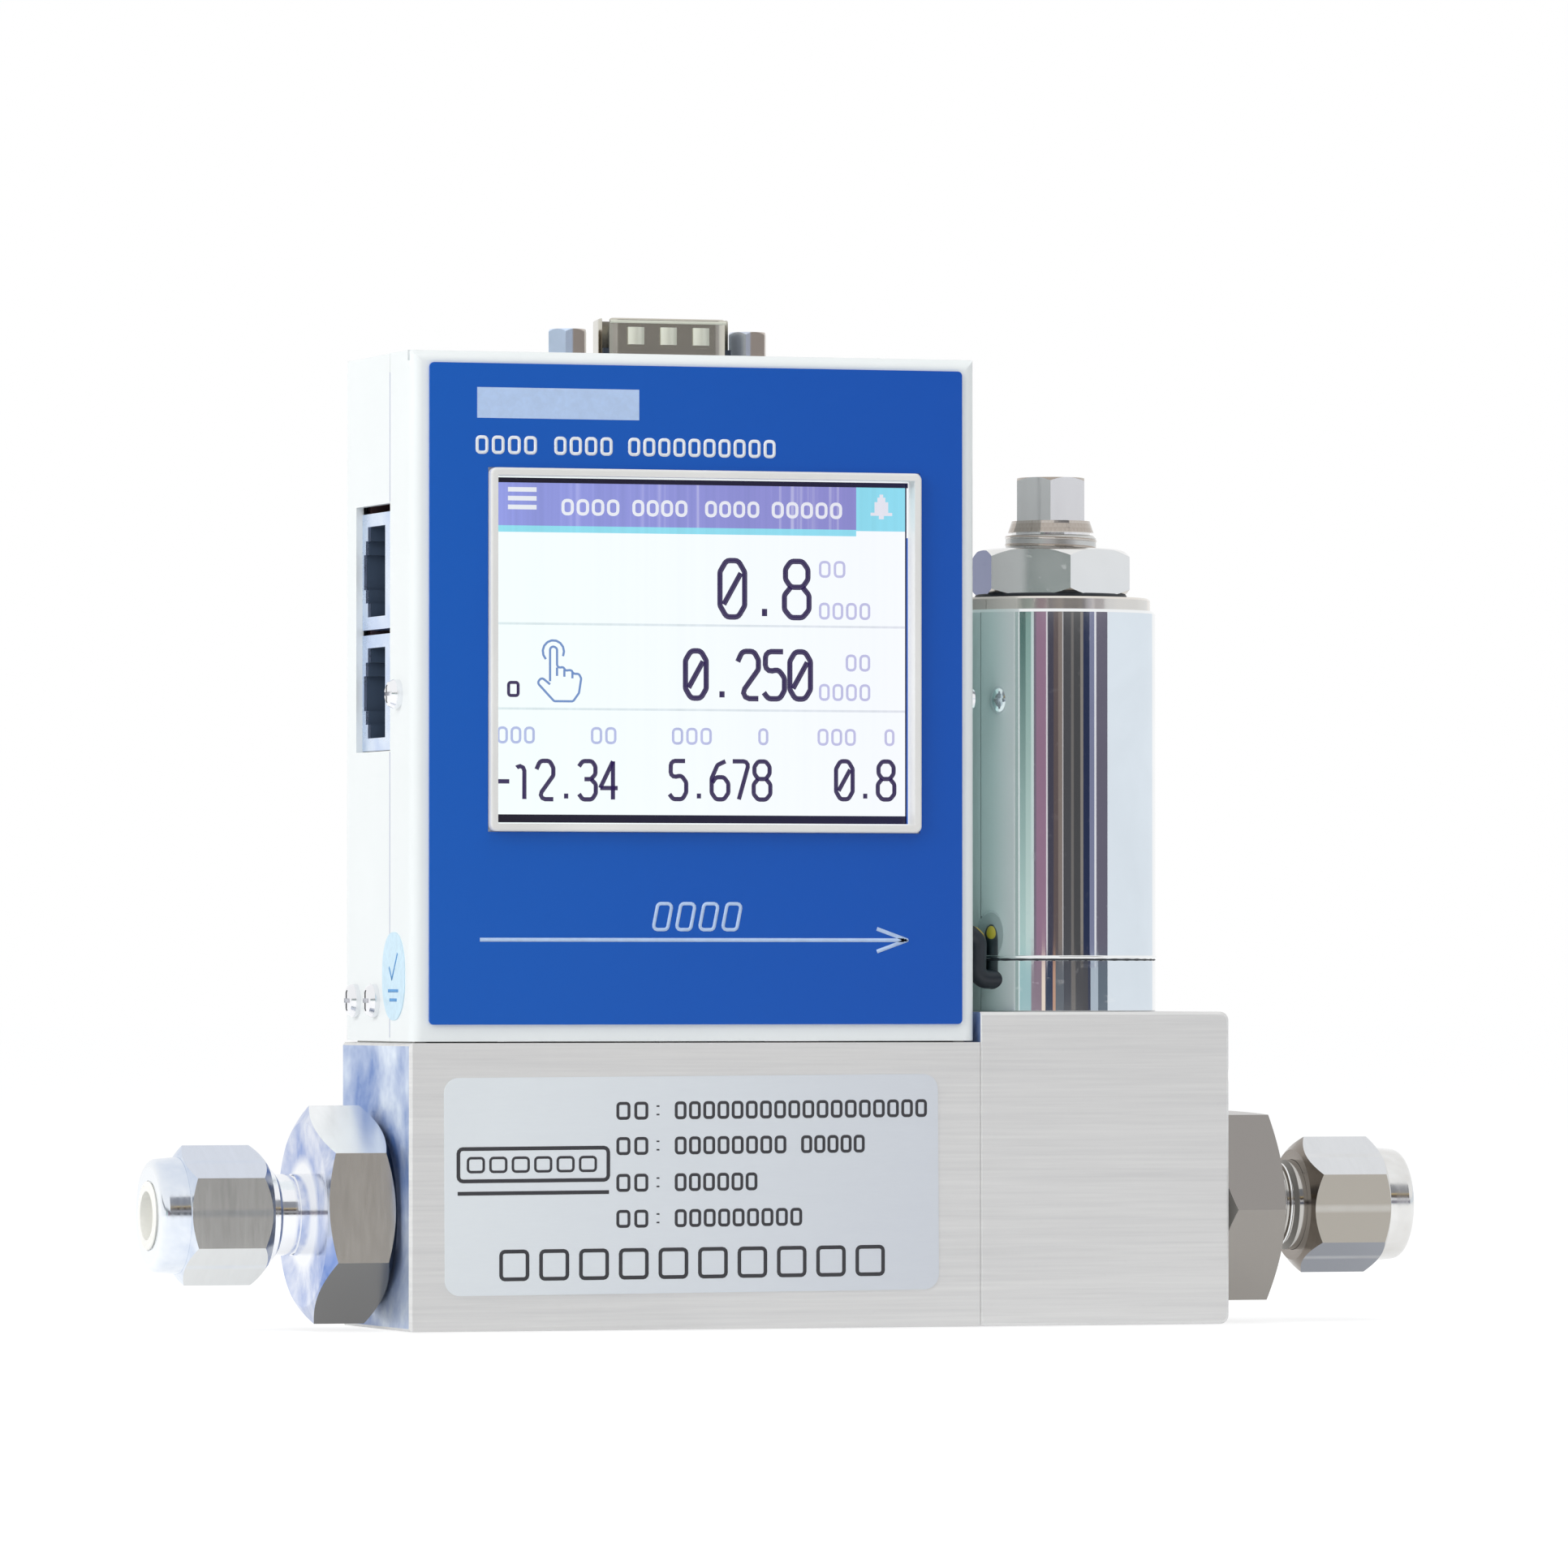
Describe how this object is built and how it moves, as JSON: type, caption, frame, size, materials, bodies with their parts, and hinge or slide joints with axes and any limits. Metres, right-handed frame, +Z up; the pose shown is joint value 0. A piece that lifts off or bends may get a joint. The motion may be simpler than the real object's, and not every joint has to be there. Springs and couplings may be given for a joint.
{
  "type": "mass flow controller",
  "caption": "Inline gas mass flow controller: metal flow block with tube fittings, boxy white housing with blue front and lit display, chromed solenoid valve.",
  "frame": {"origin": "middle of the metal block's flat underside", "axes": "+X runs with the flow, from the inlet fitting to the outlet fitting; -Y is the display side; +Z is up"},
  "size_m": [0.1746, 0.0332, 0.1331],
  "materials": {
    "block_steel": "brushed along the flow",
    "fitting_steel": "machined, satin flats and bright turned faces",
    "valve_chrome": "bright turned",
    "nut_chrome": "bright plated",
    "stem_steel": "machined",
    "screw_steel": "plated, bright",
    "inner_steel": "machined",
    "plain_metal": "mill finish",
    "white_paint": "smooth semi-gloss powder paint",
    "blue_film": "printed film, satin",
    "bezel_plastic": "smooth",
    "display_picture": "lit display behind clear cover",
    "board_green": "solder mask",
    "jack_plate": "tinned sheet",
    "black_plastic": "moulded",
    "contact_gold": "gold plated",
    "nickel_plate": "nickel plated",
    "silver_label": "silver-white film, printed",
    "blue_sticker": "pale film",
    "coil_copper": "enamelled winding",
    "ivory_plastic": "soft moulded cap",
    "black_rubber": "moulded",
    "lead_sleeve": "sleeved lead"
  },
  "bodies": {
    "instrument": {"flow_body": "block_steel", "valve_body": "block_steel", "seam_oring": "black_rubber", "join_screw_front": "screw_steel", "join_screw_rear": "screw_steel", "laminar_element": "inner_steel", "inlet_adapter": "fitting_steel", "inlet_ferrule": "fitting_steel", "inlet_nut": "fitting_steel", "inlet_plug": "ivory_plastic", "outlet_adapter": "fitting_steel", "outlet_ferrule": "fitting_steel", "outlet_nut": "fitting_steel", "front_shell": "white_paint", "rear_shell": "white_paint", "front_overlay": "blue_film", "display_bezel": "bezel_plastic", "display_panel": "display_picture", "display_frame": "plain_metal", "display_board": "board_green", "main_board": "board_green", "jack_shield_lower": "jack_plate", "jack_shield_upper": "jack_plate", "jack_insert_lower": "black_plastic", "jack_insert_upper": "black_plastic", "jack_contacts_lower": "contact_gold", "jack_contacts_upper": "contact_gold", "dsub_shell": "nickel_plate", "dsub_insulator": "black_plastic", "dsub_pins": "contact_gold", "jackscrew_left": "nickel_plate", "jackscrew_right": "nickel_plate", "bracket_left": "plain_metal", "bracket_right": "plain_metal", "side_screw_left": "screw_steel", "side_screw_right": "screw_steel", "base_screw_left_front": "screw_steel", "base_screw_left_rear": "screw_steel", "base_screw_right_front": "screw_steel", "base_screw_right_rear": "screw_steel", "rating_label": "silver_label", "inspection_sticker": "blue_sticker", "sensor_block": "inner_steel", "sensor_tube": "inner_steel", "sensor_winding_in": "coil_copper", "sensor_winding_out": "coil_copper", "valve_ring": "valve_chrome", "valve_sleeve": "valve_chrome", "valve_cap": "valve_chrome", "lock_nut": "nut_chrome", "core_tube": "inner_steel", "orifice_seat": "inner_steel", "adjuster": "stem_steel", "coil_bobbin": "black_plastic", "coil_winding": "coil_copper", "lead_grommet": "black_rubber", "valve_lead": "lead_sleeve"},
    "moving_plunger": {"plunger": "inner_steel", "plunger_spring": "inner_steel"}
  },
  "joints": [
    {"name": "plunger_lift", "type": "slide", "parent": "instrument", "child": "moving_plunger", "axis": [0, 0, 1], "range_m": [0, 0.0004], "stiffness_N_per_m": 1500, "springref_m": -0.001, "deforming": ["plunger_spring"]}
  ]
}
